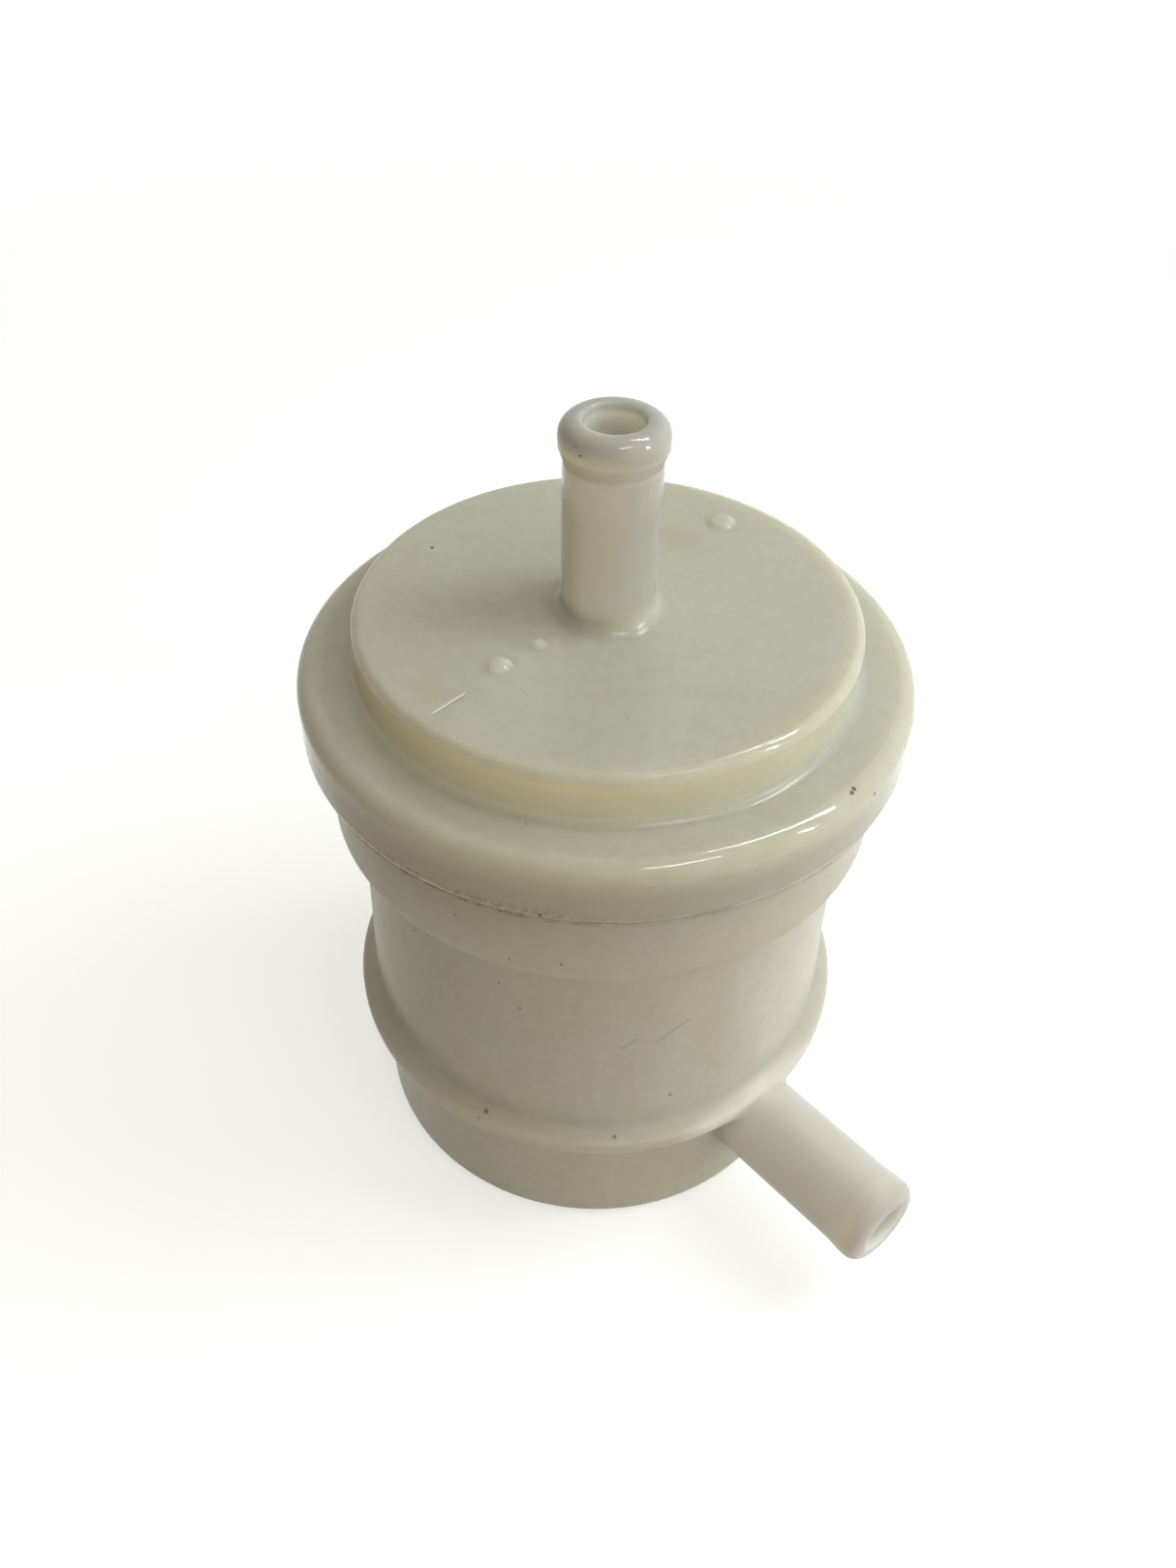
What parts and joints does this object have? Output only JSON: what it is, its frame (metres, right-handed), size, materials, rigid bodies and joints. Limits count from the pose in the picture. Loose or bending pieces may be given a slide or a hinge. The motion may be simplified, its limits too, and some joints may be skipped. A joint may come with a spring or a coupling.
{
  "type": "fuel filter",
  "caption": "In-line fuel filter with a milky welded nylon case, a hose nipple on top, a hose nipple at the side and a pleated paper element sealed inside.",
  "frame": {"origin": "centre of the flat foot of the bowl", "axes": "+Z along the case's axis, from the foot to the outlet nipple on top; +X along the inlet nipple, out of the case"},
  "size_m": [0.0664, 0.053, 0.0767],
  "materials": {
    "case_nylon": "milky, slightly yellow nylon, semi-gloss",
    "weld_flash": "re-solidified nylon, dull, slightly browned",
    "seal_rubber": "black fuel-proof rubber, matt",
    "end_plate_plastic": "off-white moulded plastic",
    "center_tube_plastic": "off-white moulded plastic",
    "bonding_glue": "amber cast adhesive",
    "filter_paper": "resin-treated pleated paper",
    "clip_metal": "tinned steel strip"
  },
  "bodies": {
    "root": {"bowl": "case_nylon", "cover": "case_nylon", "weld_bead": "weld_flash", "outlet_seal": "seal_rubber", "upper_end_plate": "end_plate_plastic", "lower_end_plate": "end_plate_plastic", "center_tube": "center_tube_plastic", "upper_glue": "bonding_glue", "lower_glue": "bonding_glue", "filter_paper": "filter_paper", "seam_clip": "clip_metal"}
  },
  "joints": []
}
